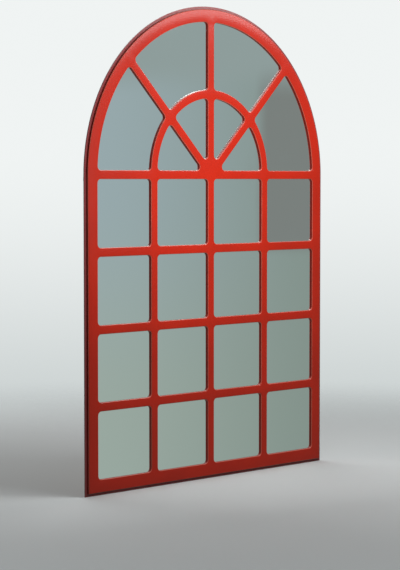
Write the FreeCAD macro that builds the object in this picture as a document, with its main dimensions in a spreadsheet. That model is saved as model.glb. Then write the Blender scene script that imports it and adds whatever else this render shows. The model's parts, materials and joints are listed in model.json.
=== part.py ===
import FreeCAD, Part
import enum
import math
import os
import Sketcher

# Arched window mirror. Every piece is drawn lying flat, front face up: x runs to the right, y up the wall
# and z out of the wall. Its placement stands it up in the frame of the whole, where the wall is y = 0, the
# room lies towards -Y, and the origin is midway between the two points that the mirror hangs from.

COLUMN_COUNT = 4
ROW_COUNT = 4
FAN_COUNT = 4
FAN_ANGLE = 180 / FAN_COUNT

ARCH_BUTTON_ANGLE = 55
ARCH_PAD_ANGLE = 25

# Places along the sides as shares of the straight height below the spring line, and along the bottom as a
# share of the overall width to either side of the middle.
SIDE_BUTTON_SHARES = (0.4, 0.8)
SIDE_PAD_SHARE = 0.93
BOTTOM_BUTTON_SHARE = 0.25

SIZES = {
    # Outline: a half circle on straight sides
    "overall_width": 700,
    "straight_height": 640,
    # Lattice
    "lattice_thick": 4.5,
    "border_width": 26,
    "bar_width": 18,
    "arc_rise": 5,
    "corner_radius": 8,
    "edge_round": 1.8,
    # Rim that shows outside the lattice, bevelled behind to a thin outer edge
    "reveal": 6,
    "rim_edge": 2.5,
    # Panes and back board
    "pane_thick": 3,
    "pane_gap": 2,
    "pane_play": 1,
    "hub_cut": 14,
    "board_thick": 3,
    "board_play": 0.5,
    # Screws
    "shank_width": 3,
    "head_width": 6,
    "head_height": 1.6,
    "head_round": 0.7,
    "cross_width": 0.8,
    "cross_length": 3.4,
    "cross_depth": 0.7,
    "tip_skin": 1.5,
    "pilot_play": 0.05,
    # Turn buttons
    "button_width": 11,
    "button_reach": 20,
    "button_thick": 2,
    "button_round": 0.5,
    "button_play": 0.15,
    "pivot_play": 0.06,
    # Strap hangers
    "strap_width": 9,
    "strap_thick": 1.2,
    "strap_length": 34,
    "strap_inset": 14.5,
    "strap_corner": 2,
    "strap_hole_play": 0.25,
    "near_screw": 8.5,
    "far_screw": 27,
    "eye_play": 0.08,
    # Rings of round wire
    "wire_width": 2.5,
    "ring_half": 8.5,
    "ring_bend": 3,
    "ring_side": 3,
    "lean_play": 0.3,
    # Wall pads
    "pad_width": 12,
    "pad_inset": 15,
    "pad_round": 1,
    "wall_clearance": 1.4,
}

FORMULAS = {
    # Outlines of the rim, the lattice and its openings
    "half_width": "sizes.overall_width / 2",
    "lattice_half": "half_width - sizes.reveal",
    "lattice_drop": "sizes.straight_height - sizes.reveal",
    "opening_half": "lattice_half - sizes.border_width",
    "half_bar": "sizes.bar_width / 2",
    "column_pitch": f"(2 * opening_half + sizes.bar_width) / {COLUMN_COUNT}",
    "column_run": f"column_pitch * {COLUMN_COUNT - 1}",
    "column_low": "opening_half - column_pitch + sizes.bar_width",
    "row_pitch": f"(lattice_drop - sizes.border_width + half_bar) / {ROW_COUNT}",
    "row_run": f"row_pitch * {ROW_COUNT - 1}",
    "row_low": "row_pitch - half_bar",
    "arc_inner": "column_pitch - half_bar",
    "arc_outer": "column_pitch + half_bar",
    # Panes meet under the middle of each bar
    "half_gap": "sizes.pane_gap / 2",
    "pane_lap": "half_bar - half_gap",
    "pane_width": "column_pitch - sizes.pane_gap",
    "pane_height": "row_pitch - sizes.pane_gap",
    "pane_edge": "opening_half + pane_lap",
    "inner_pane_edge": "column_pitch - half_gap",
    "outer_pane_start": "column_pitch + half_gap",
    # Rim and back board
    "rim_inner": "pane_edge + sizes.pane_play",
    "rim_floor": "lattice_drop - sizes.border_width + pane_lap + sizes.pane_play",
    "rim_thick": "sizes.pane_thick + sizes.board_thick",
    "rim_bevel": "rim_thick - sizes.rim_edge",
    "rim_mid": "(half_width + rim_inner) / 2",
    "bottom_mid": "(sizes.straight_height + rim_floor) / 2",
    "board_half": "rim_inner - sizes.board_play",
    "board_drop": "rim_floor - sizes.board_play",
    # Rings and hangers
    "wire_half": "sizes.wire_width / 2",
    "bar_half": "sizes.ring_half - sizes.ring_bend",
    "eye_bore": "wire_half + sizes.eye_play",
    "eye_outer": "eye_bore + sizes.strap_thick",
    # The ring leans on the rim, and the point that it hangs from is level with the spring line
    "ring_rise": "sizes.ring_bend + sizes.ring_side + sizes.ring_half",
    "lean_angle": "asin((eye_outer - wire_half - sizes.lean_play) / ring_rise)",
    "eye_drop": "(ring_rise - wire_half) * cos(lean_angle)",
    "strap_mid": "half_width - sizes.strap_inset",
    "near_hole": "eye_drop + sizes.near_screw",
    "far_hole": "eye_drop + sizes.far_screw",
    # Screws and turn buttons
    "shank_half": "sizes.shank_width / 2",
    "head_half": "sizes.head_width / 2",
    "pilot_half": "shank_half + sizes.pilot_play",
    "screw_bite": "rim_thick - sizes.tip_skin",
    "strap_hole_half": "shank_half + sizes.strap_hole_play",
    "button_half": "sizes.button_width / 2",
    "button_run": "sizes.button_reach - button_half",
    "pivot_half": "shank_half + sizes.pivot_play",
    "button_grip": "sizes.button_thick + 2 * sizes.button_play",
    "cross_half_width": "sizes.cross_width / 2",
    "cross_half_length": "sizes.cross_length / 2",
    "upper_button": f"sizes.straight_height * {SIDE_BUTTON_SHARES[0]}",
    "lower_button": f"sizes.straight_height * {SIDE_BUTTON_SHARES[1]}",
    "bottom_button": f"sizes.overall_width * {BOTTOM_BUTTON_SHARE}",
    "arch_button_x": f"rim_mid * cos({ARCH_BUTTON_ANGLE})",
    "arch_button_z": f"rim_mid * sin({ARCH_BUTTON_ANGLE})",
    # Wall pads
    "pad_half": "sizes.pad_width / 2",
    "pad_height": "2 * eye_outer + sizes.wall_clearance",
    "pad_x": "half_width - sizes.pad_inset",
    "side_pad": f"sizes.straight_height * {SIDE_PAD_SHARE}",
    "arch_pad_x": f"pad_x * cos({ARCH_PAD_ANGLE})",
    "arch_pad_z": f"pad_x * sin({ARCH_PAD_ANGLE})",
    # Depths, from the wall towards the room
    "back_depth": "-pad_height",
    "pane_depth": "back_depth - sizes.board_thick",
    "lattice_depth": "back_depth - rim_thick",
    "button_depth": "back_depth + sizes.button_play",
    "eye_depth": "back_depth + eye_outer",
}

NEAR = 1e-4


class Spot(enum.IntEnum):
    """A sketch's own numbers for the points of a line or an arc."""
    START = 1
    END = 2
    CENTRE = 3


class Axis(enum.IntEnum):
    """A sketch's own numbers for its axes."""
    LEVEL = -1
    UPRIGHT = -2


ORIGIN = (Axis.LEVEL, Spot.START)
ACROSS = FreeCAD.Vector(1, 0, 0)
OUT = FreeCAD.Vector(0, 0, 1)
STAND = FreeCAD.Rotation(ACROSS, 90)

document = FreeCAD.newDocument("window_mirror")
nodes = []


def fill_sheet(name, cells):
    """Make a sheet with one named cell for each entry."""
    sheet = document.addObject("Spreadsheet::Sheet", name)
    for row, (alias, content) in enumerate(cells.items(), start=1):
        sheet.set(f"A{row}", alias)
        sheet.set(f"B{row}", content)
        sheet.setAlias(f"B{row}", alias)
    document.recompute()
    return sheet


sizes = fill_sheet("sizes", {alias: str(length) for alias, length in SIZES.items()})
derived = fill_sheet("derived", {alias: f"={formula}" for alias, formula in FORMULAS.items()})


def number(alias):
    """The value of a named cell of either sheet."""
    sheet = sizes if alias in SIZES else derived
    return float(getattr(sheet, alias))


def cell(alias, sign=1):
    """The expression that reads a named cell of either sheet."""
    home = "sizes" if alias in SIZES else "derived"
    return f"{home}.{alias}" if sign > 0 else f"-{home}.{alias}"


def point(x, y):
    return FreeCAD.Vector(x, y, 0)


# Sketches


def new_body(label):
    body = document.addObject("PartDesign::Body", label)
    body.Label = label
    return body


def new_sketch(body, name, plane="XY_Plane", lift=None):
    """A sketch on one of the body's own planes, lifted along its normal by an expression."""
    support = [item for item in body.Origin.OriginFeatures if item.Role == plane][0]
    sketch = body.newObject("Sketcher::SketchObject", f"{body.Name}_{name}")
    sketch.AttachmentSupport = [(support, "")]
    sketch.MapMode = "FlatFace"
    if lift:
        sketch.setExpression("AttachmentOffset.Base.z", lift)
    return sketch


def bind(sketch, constraint, expression):
    """Add a dimension to the sketch and let the sheets drive it."""
    index = sketch.addConstraint(constraint)
    name = f"size_{index}"
    sketch.renameConstraint(index, name)
    sketch.setExpression(f"Constraints.{name}", expression)


def rule(sketch, *terms):
    sketch.addConstraint(Sketcher.Constraint(*terms))


def span(sketch, kind, line, alias):
    """Give a line of the sketch its length along one axis."""
    ends = (line, Spot.START, line, Spot.END)
    bind(sketch, Sketcher.Constraint(kind, *ends, number(alias)), cell(alias))


def place_point(sketch, where, x=None, y=None):
    """Tie a point of the sketch to the origin; x and y are (sign, alias) pairs, or None on the axis."""
    for kind, term, axis in (("DistanceX", x, Axis.UPRIGHT), ("DistanceY", y, Axis.LEVEL)):
        if term is None:
            rule(sketch, "PointOnObject", *where, axis)
            continue
        sign, alias = term
        ends = (*ORIGIN, *where) if sign > 0 else (*where, *ORIGIN)
        bind(sketch, Sketcher.Constraint(kind, *ends, number(alias)), cell(alias))


def coordinate(term):
    return 0 if term is None else term[0] * number(term[1])


def add_line(sketch, start, end):
    return sketch.addGeometry(Part.LineSegment(start, end))


def add_arc(sketch, centre, radius, first, last):
    circle = Part.Circle(centre, OUT, radius)
    return sketch.addGeometry(Part.ArcOfCircle(circle, first, last))


def add_circle(sketch, radius, x=None, y=None):
    middle = point(coordinate(x), coordinate(y))
    circle = sketch.addGeometry(Part.Circle(middle, OUT, number(radius)))
    bind(sketch, Sketcher.Constraint("Radius", circle, number(radius)), cell(radius))
    if x is None and y is None:
        rule(sketch, "Coincident", circle, Spot.CENTRE, *ORIGIN)
    else:
        place_point(sketch, (circle, Spot.CENTRE), x, y)


def add_rectangle(sketch, left, right, low, high):
    """A rectangle; each side is a (sign, alias) pair, or None for a side on an axis."""
    corners = [
        point(coordinate(x), coordinate(y))
        for x, y in ((left, low), (right, low), (right, high), (left, high))
    ]
    lines = [add_line(sketch, corners[k], corners[(k + 1) % 4]) for k in range(4)]
    for k in range(4):
        rule(sketch, "Coincident", lines[k], Spot.END, lines[(k + 1) % 4], Spot.START)
        rule(sketch, "Vertical" if k % 2 else "Horizontal", lines[k])
    place_point(sketch, (lines[0], Spot.START), left, low)
    place_point(sketch, (lines[2], Spot.START), right, high)


def add_arch(sketch, half, drop):
    """A half circle on straight sides that stand on a level bottom."""
    side, depth = number(half), number(drop)
    bottom = add_line(sketch, point(-side, -depth), point(side, -depth))
    right = add_line(sketch, point(side, -depth), point(side, 0))
    arc = add_arc(sketch, point(0, 0), side, 0, math.pi)
    left = add_line(sketch, point(-side, 0), point(-side, -depth))
    ring = (bottom, right, arc, left)
    for k in range(4):
        rule(sketch, "Coincident", ring[k], Spot.END, ring[(k + 1) % 4], Spot.START)
    rule(sketch, "Coincident", arc, Spot.CENTRE, *ORIGIN)
    rule(sketch, "Horizontal", bottom)
    rule(sketch, "Vertical", right)
    rule(sketch, "Vertical", left)
    rule(sketch, "PointOnObject", arc, Spot.START, Axis.LEVEL)
    rule(sketch, "PointOnObject", arc, Spot.END, Axis.LEVEL)
    bind(sketch, Sketcher.Constraint("Radius", arc, side), cell(half))
    bind(sketch, Sketcher.Constraint("DistanceY", bottom, Spot.START, *ORIGIN, depth), cell(drop))


def add_fan(sketch, step, offset, far, near=None):
    """One field of the fan: between two rays drawn in by an offset, out to one arc and in to another.

    Each arc is named by its radius and by the rise of its middle above the hub, if it has one.
    """
    low_turn, high_turn = math.radians(FAN_ANGLE * step), math.radians(FAN_ANGLE * (step + 1))
    gap = number(offset)

    def add_side(radius, rise=None):
        lift, reach = number(rise) if rise else 0, number(radius)
        first = low_turn + math.asin((gap - lift * math.cos(low_turn)) / reach)
        last = high_turn - math.asin((gap + lift * math.cos(high_turn)) / reach)
        arc = add_arc(sketch, point(0, lift), reach, first, last)
        bind(sketch, Sketcher.Constraint("Radius", arc, reach), cell(radius))
        if rise:
            rule(sketch, "PointOnObject", arc, Spot.CENTRE, Axis.UPRIGHT)
            bind(sketch, Sketcher.Constraint("DistanceY", *ORIGIN, arc, Spot.CENTRE, lift), cell(rise))
        else:
            rule(sketch, "Coincident", arc, Spot.CENTRE, *ORIGIN)
        return arc, [point(reach * math.cos(turn), lift + reach * math.sin(turn)) for turn in (first, last)]

    far_arc, far_ends = add_side(*far)
    if near:
        near_arc, near_ends = add_side(*near)
    else:
        middle, reach = (low_turn + high_turn) / 2, gap / math.sin((high_turn - low_turn) / 2)
        near_ends = [point(reach * math.cos(middle), reach * math.sin(middle))] * 2
    low, high = (add_line(sketch, start, end) for start, end in zip(near_ends, far_ends))
    for line, turn, side in ((low, low_turn, Spot.START), (high, high_turn, Spot.END)):
        rule(sketch, "Coincident", far_arc, side, line, Spot.END)
        if near:
            rule(sketch, "Coincident", near_arc, side, line, Spot.START)
        rule(sketch, "Angle", line, turn)
        bind(sketch, Sketcher.Constraint("Distance", *ORIGIN, line, gap), cell(offset))
    if not near:
        rule(sketch, "Coincident", low, Spot.START, high, Spot.START)


# Features


def add_pad(body, sketch, length, reverse=False, middle=False):
    pad = body.newObject("PartDesign::Pad", f"{sketch.Name}_pad")
    pad.Profile = sketch
    pad.setExpression("Length", length)
    pad.Reversed = reverse
    pad.Midplane = middle
    document.recompute()
    return pad


def add_pocket(body, sketch, depth=None):
    """A pocket up from its sketch to a depth, or right through in both directions."""
    pocket = body.newObject("PartDesign::Pocket", f"{sketch.Name}_pocket")
    pocket.Profile = sketch
    if depth:
        pocket.setExpression("Length", depth)
        pocket.Reversed = True
    else:
        pocket.Type = "ThroughAll"
        pocket.Midplane = True
    document.recompute()
    return pocket


def dress(body, kind, amount, alias, chosen):
    """Dress the edges of the body that the test chooses."""
    base = body.Tip
    edges = [f"Edge{k}" for k, edge in enumerate(base.Shape.Edges, start=1) if chosen(edge)]
    feature = body.newObject(f"PartDesign::{kind}", f"{body.Name}_{alias}")
    feature.Base = (base, edges)
    feature.setExpression(amount, cell(alias))
    document.recompute()


def add_fillet(body, radius, chosen):
    dress(body, "Fillet", "Radius", radius, chosen)


def add_chamfer(body, size, chosen):
    dress(body, "Chamfer", "Size", size, chosen)


def level_at(height):
    """A test for edges that lie wholly at one height."""
    def chosen(edge):
        box = edge.BoundBox
        return abs(box.ZMin - height) < NEAR and abs(box.ZMax - height) < NEAR
    return chosen


def upright(edge):
    box = edge.BoundBox
    return box.XLength < NEAR and box.YLength < NEAR


def stand(item, depth, x=None, z=None, turn=0, lean=0):
    """Stand a finished sub-part up, turned in its own plane or leaning forward, and keep it as a node."""
    spin = FreeCAD.Rotation(OUT, turn)
    tilt = FreeCAD.Rotation(ACROSS, lean)
    item.Placement = FreeCAD.Placement(FreeCAD.Vector(), tilt.multiply(STAND).multiply(spin))
    item.setExpression("Placement.Base.y", cell(depth))
    if x:
        item.setExpression("Placement.Base.x", x)
    if z:
        item.setExpression("Placement.Base.z", z)
    nodes.append(item)


# Pieces


def build_lattice():
    body = new_body("front_lattice")
    outline = new_sketch(body, "outline")
    add_arch(outline, "lattice_half", "lattice_drop")
    add_pad(body, outline, cell("lattice_thick"))

    pane = new_sketch(body, "pane")
    add_rectangle(pane, (1, "column_low"), (1, "opening_half"), (-1, "row_low"), (-1, "half_bar"))
    opening = add_pocket(body, pane)
    grid = body.newObject("PartDesign::LinearPattern", "lattice_grid")
    grid.Originals = [opening]
    grid.Direction = (pane, ["H_Axis"])
    grid.Reversed = True
    grid.Occurrences = COLUMN_COUNT
    grid.setExpression("Length", cell("column_run"))
    grid.Direction2 = (pane, ["V_Axis"])
    grid.Reversed2 = True
    grid.Occurrences2 = ROW_COUNT
    grid.setExpression("Length2", cell("row_run"))
    body.Tip = grid
    document.recompute()

    rings = {
        "inner_fan": (("arc_inner", "arc_rise"), None),
        "outer_fan": (("opening_half",), ("arc_outer", "arc_rise")),
    }
    openings = []
    for name, (far, near) in rings.items():
        for step in range(FAN_COUNT // 2):
            field = new_sketch(body, f"{name}{step + 1}")
            add_fan(field, step, "half_bar", far, near)
            openings.append(add_pocket(body, field))
    fan = body.newObject("PartDesign::Mirrored", "lattice_fan")
    fan.Originals = openings
    fan.MirrorPlane = (outline, ["V_Axis"])
    body.Tip = fan
    document.recompute()

    inside_x = number("lattice_half") - NEAR
    inside_y = number("lattice_drop") - NEAR

    def inside_corner(edge):
        middle = edge.CenterOfMass
        return upright(edge) and abs(middle.x) < inside_x and middle.y > -inside_y

    add_fillet(body, "corner_radius", inside_corner)
    add_fillet(body, "edge_round", level_at(number("lattice_thick")))
    stand(body, "lattice_depth")


def drill(body, places, radius, depth):
    """Blind holes into the back face; each place is a pair of (sign, alias) pairs."""
    holes = new_sketch(body, "holes")
    for x, y in places:
        add_circle(holes, radius, x, y)
    add_pocket(body, holes, depth)


def back_outline(edge):
    """A test for the back edges that lie on the outline of the whole."""
    middle = edge.valueAt((edge.FirstParameter + edge.LastParameter) / 2)
    reach = math.hypot(middle.x, max(middle.y, 0))
    on_side = abs(reach - number("half_width")) < NEAR
    on_bottom = abs(middle.y + number("straight_height")) < NEAR
    return abs(middle.z) < NEAR and (on_side or on_bottom)


def build_rim():
    bite = cell("screw_bite")
    side_drops = ("upper_button", "lower_button")
    hanger_drops = ("near_hole", "far_hole")
    for name, sign in (("left", -1), ("right", 1)):
        side = new_body(f"rim_{name}")
        outline = new_sketch(side, "outline")
        edges = [(sign, "rim_inner"), (sign, "half_width")]
        add_rectangle(outline, *edges[::sign], (-1, "rim_floor"), None)
        add_pad(side, outline, cell("rim_thick"))
        add_chamfer(side, "rim_bevel", back_outline)
        holes = [((sign, "rim_mid"), (-1, drop)) for drop in side_drops]
        holes += [((sign, "strap_mid"), (-1, drop)) for drop in hanger_drops]
        drill(side, holes, "pilot_half", bite)
        stand(side, "back_depth")

        arch = new_body(f"rim_arch_{name}")
        outline = new_sketch(arch, "outline")
        add_quarter(outline, sign)
        add_pad(arch, outline, cell("rim_thick"))
        add_chamfer(arch, "rim_bevel", back_outline)
        drill(arch, [((sign, "arch_button_x"), (1, "arch_button_z"))], "pilot_half", bite)
        stand(arch, "back_depth")

    bottom = new_body("rim_bottom")
    outline = new_sketch(bottom, "outline")
    add_rectangle(outline, (-1, "half_width"), (1, "half_width"), (-1, "straight_height"), (-1, "rim_floor"))
    add_pad(bottom, outline, cell("rim_thick"))
    add_chamfer(bottom, "rim_bevel", back_outline)
    drill(bottom, [((sign, "bottom_button"), (-1, "bottom_mid")) for sign in (-1, 1)], "pilot_half", bite)
    stand(bottom, "back_depth")


def add_quarter(sketch, sign):
    """A quarter ring from the level axis to the upright one, on one side of the middle."""
    inner, outer = number("rim_inner"), number("half_width")
    level = add_line(sketch, point(sign * inner, 0), point(sign * outer, 0))
    crown = add_line(sketch, point(0, inner), point(0, outer))
    first, last = (0, math.pi / 2) if sign > 0 else (math.pi / 2, math.pi)
    lines = (level, crown) if sign > 0 else (crown, level)
    for alias, side in (("rim_inner", Spot.START), ("half_width", Spot.END)):
        arc = add_arc(sketch, point(0, 0), number(alias), first, last)
        rule(sketch, "Coincident", arc, Spot.CENTRE, *ORIGIN)
        rule(sketch, "Coincident", arc, Spot.START, lines[0], side)
        rule(sketch, "Coincident", arc, Spot.END, lines[1], side)
        bind(sketch, Sketcher.Constraint("Radius", arc, number(alias)), cell(alias))
    for side in (Spot.START, Spot.END):
        rule(sketch, "PointOnObject", level, side, Axis.LEVEL)
        rule(sketch, "PointOnObject", crown, side, Axis.UPRIGHT)


def build_panes():
    for row in range(ROW_COUNT):
        for column in range(COLUMN_COUNT):
            pane = document.addObject("Part::Box", f"pane_row{row + 1}_column{column + 1}")
            pane.setExpression("Length", cell("pane_width"))
            pane.setExpression("Width", cell("pane_height"))
            pane.setExpression("Height", cell("pane_thick"))
            steps = column - COLUMN_COUNT / 2
            left = f"{cell('column_pitch')} * {steps} + {cell('half_gap')}"
            low = f"{cell('half_gap')} - {cell('row_pitch')} * {row + 1}"
            stand(pane, "pane_depth", left, low)
    rings = {
        "inner": (("inner_pane_edge", "arc_rise"), ("hub_cut",)),
        "outer": (("pane_edge",), ("outer_pane_start", "arc_rise")),
    }
    for name, (far, near) in rings.items():
        for step in range(FAN_COUNT):
            pane = new_body(f"pane_{name}_fan{step + 1}")
            outline = new_sketch(pane, "outline")
            add_fan(outline, step, "half_gap", far, near)
            add_pad(pane, outline, cell("pane_thick"))
            stand(pane, "pane_depth")


def build_board():
    body = new_body("back_board")
    outline = new_sketch(body, "outline")
    add_arch(outline, "board_half", "board_drop")
    add_pad(body, outline, cell("board_thick"))
    stand(body, "back_depth")


def build_screw(name, grip):
    """A cross-head screw whose shank starts under its head, behind the rim by its grip."""
    body = new_body(name)
    under_head = f"-{grip}"
    head = new_sketch(body, "head", lift=under_head)
    add_circle(head, "head_half")
    add_pad(body, head, cell("head_height"), reverse=True)
    top = body.Shape.BoundBox.ZMin
    add_fillet(body, "head_round", level_at(top))
    shank = new_sketch(body, "shank", lift=under_head)
    add_circle(shank, "shank_half")
    add_pad(body, shank, f"{grip} + {cell('screw_bite')}")
    for arm, (across, along) in (("level", ("width", "length")), ("upright", ("length", "width"))):
        cross = new_sketch(body, arm, lift=f"-{grip} - {cell('head_height')}")
        x, y = f"cross_half_{across}", f"cross_half_{along}"
        add_rectangle(cross, (-1, x), (1, x), (-1, y), (1, y))
        add_pocket(body, cross, cell("cross_depth"))
    return body


def build_screw_group(label, grip, places):
    """One node of like screws; each place is a pair of expressions for x and z."""
    screw = build_screw(f"{label}_pattern", grip)
    copies = []
    for x, z in places:
        copy = document.addObject("App::Link", f"{label}_{len(copies) + 1}")
        copy.LinkedObject = screw
        copy.LinkTransform = False
        copy.Placement = FreeCAD.Placement(FreeCAD.Vector(), STAND)
        copy.setExpression("Placement.Base.x", x)
        copy.setExpression("Placement.Base.y", cell("back_depth"))
        copy.setExpression("Placement.Base.z", z)
        copies.append(copy)
    group = document.addObject("Part::Compound", label)
    group.Label = label
    group.Links = copies
    nodes.append(group)


def button_places():
    """Name, x, z and inward turn of each turn button, clockwise from the lower left."""
    for level, drop in (("lower", "lower_button"), ("upper", "upper_button")):
        yield f"left_{level}", cell("rim_mid", -1), cell(drop, -1), 0
    for side, sign, turn in (("left", -1, -ARCH_BUTTON_ANGLE), ("right", 1, 180 + ARCH_BUTTON_ANGLE)):
        yield f"{side}_arch", cell("arch_button_x", sign), cell("arch_button_z"), turn
    for level, drop in (("upper", "upper_button"), ("lower", "lower_button")):
        yield f"right_{level}", cell("rim_mid"), cell(drop, -1), 180
    for side, sign in (("right", 1), ("left", -1)):
        yield f"bottom_{side}", cell("bottom_button", sign), cell("bottom_mid", -1), 90


def build_button(name, x, z, turn):
    body = new_body(f"button_{name}")
    outline = new_sketch(body, "outline")
    half, run = number("button_half"), number("button_run")
    tail = add_arc(outline, point(0, 0), half, math.pi / 2, 3 * math.pi / 2)
    low = add_line(outline, point(0, -half), point(run, -half))
    tip = add_arc(outline, point(run, 0), half, -math.pi / 2, math.pi / 2)
    high = add_line(outline, point(run, half), point(0, half))
    ring = (tail, low, tip, high)
    for k in range(4):
        rule(outline, "Tangent", ring[k], Spot.END, ring[(k + 1) % 4], Spot.START)
    rule(outline, "Coincident", tail, Spot.CENTRE, *ORIGIN)
    rule(outline, "Equal", tail, tip)
    bind(outline, Sketcher.Constraint("Radius", tail, half), cell("button_half"))
    place_point(outline, (tip, Spot.CENTRE), (1, "button_run"))
    add_circle(outline, "pivot_half")
    add_pad(body, outline, cell("button_thick"), reverse=True)

    outer_face = level_at(-number("button_thick"))
    pivot_round = 2 * math.pi * number("pivot_half")
    add_fillet(body, "button_round", lambda edge: outer_face(edge) and abs(edge.Length - pivot_round) > NEAR)
    stand(body, "button_depth", x, z, turn)


def build_buttons():
    places = list(button_places())
    for place in places:
        build_button(*place)
    build_screw_group("button_screws", cell("button_grip"), [(x, z) for _, x, z, _ in places])


def build_hanger(name, sign):
    """A strap with screw holes, rolled at its upper end into an eye behind the rim."""
    body = new_body(f"hanger_{name}")
    profile = new_sketch(body, "profile", plane="YZ_Plane")
    length, thick = number("strap_length"), number("strap_thick")
    bore, outer = number("eye_bore"), number("eye_outer")
    join = math.sqrt(outer**2 - bore**2)
    face = add_line(profile, point(-length, 0), point(0, 0))
    first = math.pi - math.asin(bore / outer)
    roll = add_arc(profile, point(0, -outer), outer, first, 5 * math.pi / 2)
    back = add_line(profile, point(-join, -thick), point(-length, -thick))
    foot = add_line(profile, point(-length, -thick), point(-length, 0))
    rule(profile, "Coincident", face, Spot.END, *ORIGIN)
    rule(profile, "Horizontal", face)
    rule(profile, "Tangent", roll, Spot.END, face, Spot.END)
    rule(profile, "Coincident", roll, Spot.START, back, Spot.START)
    rule(profile, "Coincident", back, Spot.END, foot, Spot.START)
    rule(profile, "Coincident", foot, Spot.END, face, Spot.START)
    rule(profile, "Horizontal", back)
    rule(profile, "Vertical", foot)
    bind(profile, Sketcher.Constraint("Radius", roll, outer), cell("eye_outer"))
    span(profile, "DistanceX", face, "strap_length")
    span(profile, "DistanceY", foot, "strap_thick")
    add_pad(body, profile, cell("strap_width"), middle=True)

    eye = new_sketch(body, "eye", plane="YZ_Plane")
    add_circle(eye, "eye_bore", None, (-1, "eye_outer"))
    add_pocket(body, eye)
    holes = new_sketch(body, "holes")
    for drop in ("near_screw", "far_screw"):
        add_circle(holes, "strap_hole_half", None, (-1, drop))
    add_pocket(body, holes)

    def foot_corner(edge):
        box = edge.BoundBox
        return upright(edge) and abs(box.YMin + length) < NEAR

    add_fillet(body, "strap_corner", foot_corner)
    stand(body, "back_depth", cell("strap_mid", sign), cell("eye_drop", -1))


def build_ring(name, sign):
    """A closed loop of round wire: a straight bar, two bends, two sides and a half circle."""
    body = new_body(f"ring_{name}")
    route = new_sketch(body, "route")
    half, bend = number("ring_half"), number("ring_bend")
    straight, shoulder = number("bar_half"), number("ring_bend") + number("ring_side")
    right_angle = math.pi / 2
    bar = add_line(route, point(-straight, 0), point(straight, 0))
    right_bend = add_arc(route, point(straight, bend), bend, -right_angle, 0)
    right_side = add_line(route, point(half, bend), point(half, shoulder))
    top = add_arc(route, point(0, shoulder), half, 0, 2 * right_angle)
    left_side = add_line(route, point(-half, shoulder), point(-half, bend))
    left_bend = add_arc(route, point(-straight, bend), bend, 2 * right_angle, 3 * right_angle)
    ring = (bar, right_bend, right_side, top, left_side, left_bend)
    for k in range(len(ring)):
        rule(route, "Tangent", ring[k], Spot.END, ring[(k + 1) % len(ring)], Spot.START)
    rule(route, "PointOnObject", bar, Spot.START, Axis.LEVEL)
    rule(route, "PointOnObject", bar, Spot.END, Axis.LEVEL)
    rule(route, "PointOnObject", top, Spot.CENTRE, Axis.UPRIGHT)
    rule(route, "Vertical", right_side)
    rule(route, "Vertical", left_side)
    rule(route, "Equal", right_bend, left_bend)
    bind(route, Sketcher.Constraint("Radius", right_bend, bend), cell("ring_bend"))
    bind(route, Sketcher.Constraint("Radius", top, half), cell("ring_half"))
    span(route, "DistanceY", right_side, "ring_side")
    wire = new_sketch(body, "wire", plane="YZ_Plane")
    add_circle(wire, "wire_half")
    document.recompute()
    pipe = body.newObject("PartDesign::AdditivePipe", f"{body.Name}_pipe")
    pipe.Profile = wire
    pipe.Spine = (route, [f"Edge{k + 1}" for k in range(len(ring))])
    document.recompute()
    stand(body, "eye_depth", cell("strap_mid", sign), cell("eye_drop", -1), lean=number("lean_angle"))


def build_hangers():
    sides = (("left", -1), ("right", 1))
    for name, sign in sides:
        build_hanger(name, sign)
        build_ring(name, sign)
    places = [
        (cell("strap_mid", sign), cell(drop, -1)) for _, sign in sides for drop in ("near_hole", "far_hole")
    ]
    build_screw_group("hanger_screws", cell("strap_thick"), places)


def build_pads():
    levels = (("upper", "arch_pad_x", cell("arch_pad_z")), ("lower", "pad_x", cell("side_pad", -1)))
    for level, x, z in levels:
        for name, sign in (("left", -1), ("right", 1)):
            body = new_body(f"pad_{name}_{level}")
            outline = new_sketch(body, "outline")
            add_circle(outline, "pad_half")
            add_pad(body, outline, cell("pad_height"), reverse=True)
            add_fillet(body, "pad_round", level_at(-number("pad_height")))
            stand(body, "back_depth", cell(x, sign), z)


def check_document():
    """Stop on any object that failed, and on any sub-part without a valid shape."""
    for item in document.Objects:
        if "Invalid" in item.State or "Error" in item.State:
            raise RuntimeError(f"{item.Label}: {item.State}")
    for node in nodes:
        if node.Shape.isNull() or not node.Shape.isValid():
            raise RuntimeError(f"{node.Label}: no valid shape")


def write_parts():
    os.makedirs("parts", exist_ok=True)
    for node in nodes:
        node.Shape.exportStep(f"parts/{node.Label}.step")


build_lattice()
build_rim()
build_panes()
build_board()
build_buttons()
build_hangers()
build_pads()
document.recompute()
check_document()
write_parts()
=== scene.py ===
import json
import math

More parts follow.
